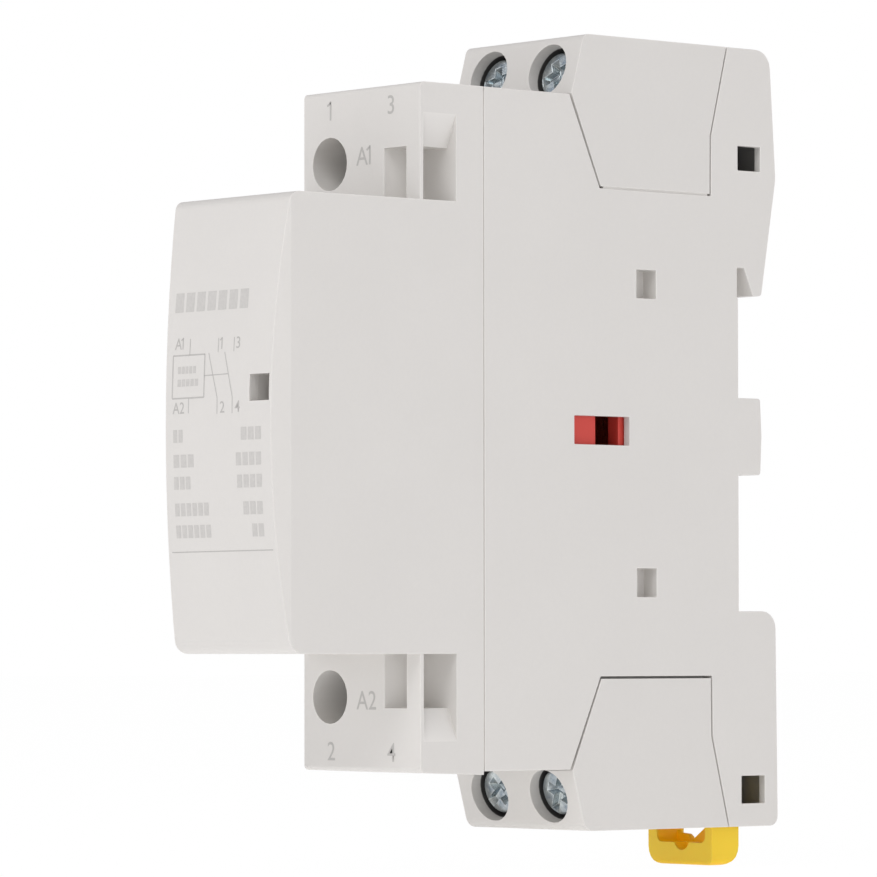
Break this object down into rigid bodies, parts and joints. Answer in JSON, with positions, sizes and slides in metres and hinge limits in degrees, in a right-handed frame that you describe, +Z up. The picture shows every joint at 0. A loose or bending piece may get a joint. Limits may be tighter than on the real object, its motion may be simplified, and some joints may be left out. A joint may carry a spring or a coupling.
{
  "type": "din rail contactor",
  "caption": "One-module contactor for a 35 mm rail, with clamp terminals at both ends, a coil in the crowned nose and a sliding rail latch.",
  "frame": {"origin": "on the plane of the rail slot's floor, at mid-width, level with the middle of the nose", "axes": "+X to the right seen from the front, front faces -Y and the rail lies on the +Y side, +Z up"},
  "size_m": [0.018, 0.0666, 0.0843],
  "materials": {
    "housing_grey": "fine moulded texture",
    "block_grey": "fine moulded texture",
    "clip_yellow": "smooth moulded",
    "carrier_red": "smooth moulded",
    "flag_dark": "matt",
    "bobbin_white": "glass-filled",
    "winding_copper": "enamelled wire",
    "core_steel": "ground laminations",
    "zinc_steel": "bright zinc plate",
    "contact_copper": "stamped",
    "contact_silver": "satin silver alloy",
    "spring_steel": "drawn wire"
  },
  "bodies": {
    "housing": {"front_cover": "housing_grey", "base_housing": "housing_grey", "upper_terminal_block": "block_grey", "lower_terminal_block": "block_grey", "magnet_core": "core_steel", "shading_ring_upper": "contact_copper", "shading_ring_lower": "contact_copper", "coil_bobbin": "bobbin_white", "coil_winding": "winding_copper", "coil_terminal_a1": "contact_copper", "coil_terminal_a2": "contact_copper", "fixed_contact_1": "contact_copper", "fixed_contact_2": "contact_copper", "fixed_contact_3": "contact_copper", "fixed_contact_4": "contact_copper", "fixed_tip_1": "contact_silver", "fixed_tip_2": "contact_silver", "fixed_tip_3": "contact_silver", "fixed_tip_4": "contact_silver", "return_spring_upper": "spring_steel", "return_spring_lower": "spring_steel"},
    "carrier": {"contact_carrier": "carrier_red", "armature": "core_steel", "armature_pin": "core_steel", "indicator_flag": "flag_dark", "contact_spring_left": "spring_steel", "contact_spring_right": "spring_steel"},
    "bridge_left": {"contact_bridge_left": "contact_copper", "bridge_tip_1": "contact_silver", "bridge_tip_2": "contact_silver"},
    "bridge_right": {"contact_bridge_right": "contact_copper", "bridge_tip_3": "contact_silver", "bridge_tip_4": "contact_silver"},
    "screw_1": {"terminal_screw_1": "zinc_steel"},
    "clamp_1": {"terminal_cage_1": "zinc_steel"},
    "screw_2": {"terminal_screw_2": "zinc_steel"},
    "clamp_2": {"terminal_cage_2": "zinc_steel"},
    "screw_3": {"terminal_screw_3": "zinc_steel"},
    "clamp_3": {"terminal_cage_3": "zinc_steel"},
    "screw_4": {"terminal_screw_4": "zinc_steel"},
    "clamp_4": {"terminal_cage_4": "zinc_steel"},
    "coil_screw_a1": {"coil_screw_a1": "zinc_steel"},
    "coil_clamp_a1": {"coil_cage_a1": "zinc_steel"},
    "coil_screw_a2": {"coil_screw_a2": "zinc_steel"},
    "coil_clamp_a2": {"coil_cage_a2": "zinc_steel"},
    "clip": {"rail_clip": "clip_yellow"}
  },
  "joints": [
    {"name": "carrier_slide", "type": "slide", "parent": "housing", "child": "carrier", "axis": [0, -1, 0], "range_m": [0, 0.003], "stiffness_N_per_m": 400, "springref_m": -0.0015, "deforming": ["return_spring_upper", "return_spring_lower"]},
    {"name": "bridge_left_slide", "type": "slide", "parent": "carrier", "child": "bridge_left", "axis": [0, 1, 0], "range_m": [0, 0.0006], "deforming": ["contact_spring_left"]},
    {"name": "bridge_right_slide", "type": "slide", "parent": "carrier", "child": "bridge_right", "axis": [0, 1, 0], "range_m": [0, 0.0006], "deforming": ["contact_spring_right"]},
    {"name": "screw_1_turn", "type": "hinge", "parent": "housing", "child": "screw_1", "pos_m": [-0.0045, -0.02227, 0.0367], "axis": [0, 0.9659, -0.2588], "range_deg": [0, 1800]},
    {"name": "clamp_1_slide", "type": "slide", "parent": "housing", "child": "clamp_1", "axis": [0, -0.9659, 0.2588], "range_m": [0, 0.0035]},
    {"name": "screw_2_turn", "type": "hinge", "parent": "housing", "child": "screw_2", "pos_m": [-0.0045, -0.02227, -0.0367], "axis": [0, 0.9659, 0.2588], "range_deg": [0, 1800]},
    {"name": "clamp_2_slide", "type": "slide", "parent": "housing", "child": "clamp_2", "axis": [0, -0.9659, -0.2588], "range_m": [0, 0.0035]},
    {"name": "screw_3_turn", "type": "hinge", "parent": "housing", "child": "screw_3", "pos_m": [0.0045, -0.02227, 0.0367], "axis": [0, 0.9659, -0.2588], "range_deg": [0, 1800]},
    {"name": "clamp_3_slide", "type": "slide", "parent": "housing", "child": "clamp_3", "axis": [0, -0.9659, 0.2588], "range_m": [0, 0.0035]},
    {"name": "screw_4_turn", "type": "hinge", "parent": "housing", "child": "screw_4", "pos_m": [0.0045, -0.02227, -0.0367], "axis": [0, 0.9659, 0.2588], "range_deg": [0, 1800]},
    {"name": "clamp_4_slide", "type": "slide", "parent": "housing", "child": "clamp_4", "axis": [0, -0.9659, -0.2588], "range_m": [0, 0.0035]},
    {"name": "coil_screw_a1_turn", "type": "hinge", "parent": "housing", "child": "coil_screw_a1", "pos_m": [-0.00495, -0.043, 0.0266], "axis": [0, 1, 0], "range_deg": [0, 1440]},
    {"name": "coil_clamp_a1_slide", "type": "slide", "parent": "housing", "child": "coil_clamp_a1", "axis": [0, -1, 0], "range_m": [0, 0.002]},
    {"name": "coil_screw_a2_turn", "type": "hinge", "parent": "housing", "child": "coil_screw_a2", "pos_m": [-0.00495, -0.043, -0.0266], "axis": [0, 1, 0], "range_deg": [0, 1440]},
    {"name": "coil_clamp_a2_slide", "type": "slide", "parent": "housing", "child": "coil_clamp_a2", "axis": [0, -1, 0], "range_m": [0, 0.002]},
    {"name": "clip_slide", "type": "slide", "parent": "housing", "child": "clip", "axis": [0, 0, 1], "range_m": [0, 0.003]}
  ],
  "couplings": [
    {"joint": "bridge_left_slide", "follows": "carrier_slide", "ratio": 0.1999},
    {"joint": "bridge_right_slide", "follows": "carrier_slide", "ratio": 0.1999},
    {"joint": "screw_1_turn", "follows": "clamp_1_slide", "rad_per_m": 8975.9},
    {"joint": "screw_2_turn", "follows": "clamp_2_slide", "rad_per_m": 8975.9},
    {"joint": "screw_3_turn", "follows": "clamp_3_slide", "rad_per_m": 8975.9},
    {"joint": "screw_4_turn", "follows": "clamp_4_slide", "rad_per_m": 8975.9},
    {"joint": "coil_screw_a1_turn", "follows": "coil_clamp_a1_slide", "rad_per_m": 12566},
    {"joint": "coil_screw_a2_turn", "follows": "coil_clamp_a2_slide", "rad_per_m": 12566}
  ]
}
